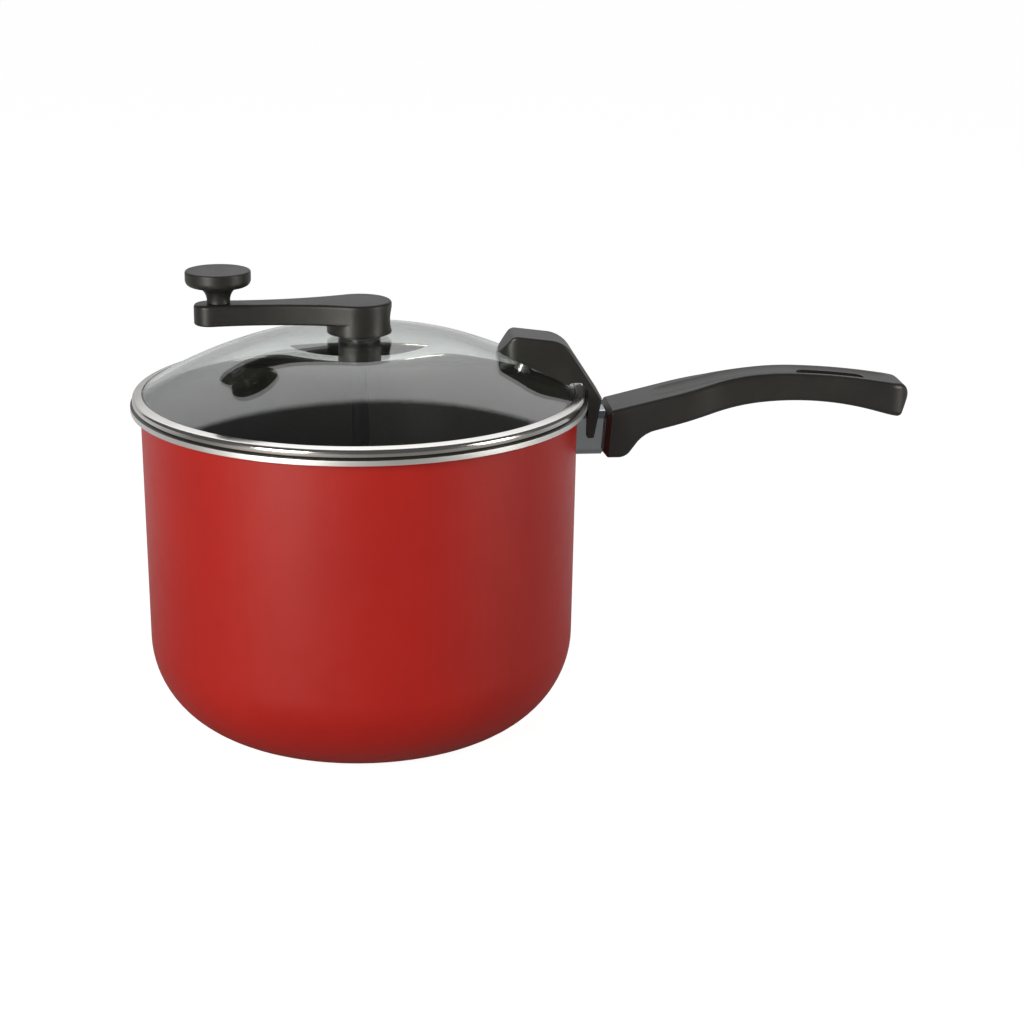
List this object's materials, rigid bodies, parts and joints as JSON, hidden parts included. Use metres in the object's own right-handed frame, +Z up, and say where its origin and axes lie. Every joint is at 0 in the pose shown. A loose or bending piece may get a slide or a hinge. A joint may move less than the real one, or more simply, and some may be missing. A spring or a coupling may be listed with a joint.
{
  "type": "stovetop popcorn popper",
  "caption": "Straight-sided saucepan popcorn popper with a long handle, a domed glass lid and a top crank that turns a wire stirrer on the pot's floor.",
  "frame": {"origin": "centre of the pot's flat base, on the surface that the pot stands on", "axes": "+Z up along the crank shaft, +X along the long handle"},
  "size_m": [0.3666, 0.2128, 0.2192],
  "materials": {
    "pot_coating": "satin red coating outside, dark non-stick lining inside, bare rim edge",
    "handle_plastic": "black moulded phenolic, satin",
    "crank_plastic": "black moulded plastic, satin",
    "polished_steel": "stainless steel, polished",
    "plain_steel": "turned or drawn stainless steel",
    "shaft_coating": "steel rod with a black heat-proof coating",
    "stud_aluminium": "as turned",
    "hub_plastic": "black heat-proof plastic",
    "lid_glass": "clear toughened glass",
    "silicone": "dark silicone"
  },
  "bodies": {
    "pot": {"pot_shell": "pot_coating", "handle_stud": "stud_aluminium", "flame_guard": "polished_steel", "handle_grip": "handle_plastic", "handle_washer": "plain_steel", "handle_screw": "plain_steel"},
    "lid": {"lid_glass": "lid_glass", "lid_band": "polished_steel", "hub_gasket_top": "silicone", "hub_gasket_bottom": "silicone", "hub_bush": "hub_plastic", "hub_nut": "hub_plastic", "lid_clip": "crank_plastic", "clip_pad": "silicone", "clip_washer": "plain_steel", "clip_screw": "plain_steel"},
    "crank": {"crank_arm": "crank_plastic", "arm_grub": "plain_steel", "crank_shaft": "shaft_coating", "shaft_washer": "plain_steel", "shaft_clip": "plain_steel", "stirrer_hub": "plain_steel", "stirrer_grub": "plain_steel", "stirrer_wire_left": "plain_steel", "stirrer_wire_right": "plain_steel"},
    "knob": {"knob": "crank_plastic", "knob_screw": "plain_steel", "knob_washer": "plain_steel"}
  },
  "joints": [
    {"name": "lid_lift", "type": "slide", "parent": "pot", "child": "lid", "axis": [0, 0, 1], "range_m": [0, 0.2]},
    {"name": "crank_turn", "type": "hinge", "parent": "lid", "child": "crank", "pos_m": [0, 0, 0.18], "axis": [0, 0, 1], "continuous": true},
    {"name": "knob_spin", "type": "hinge", "parent": "crank", "child": "knob", "pos_m": [-0.06441, -0.00338, 0.2], "axis": [0, 0, 1], "continuous": true}
  ]
}
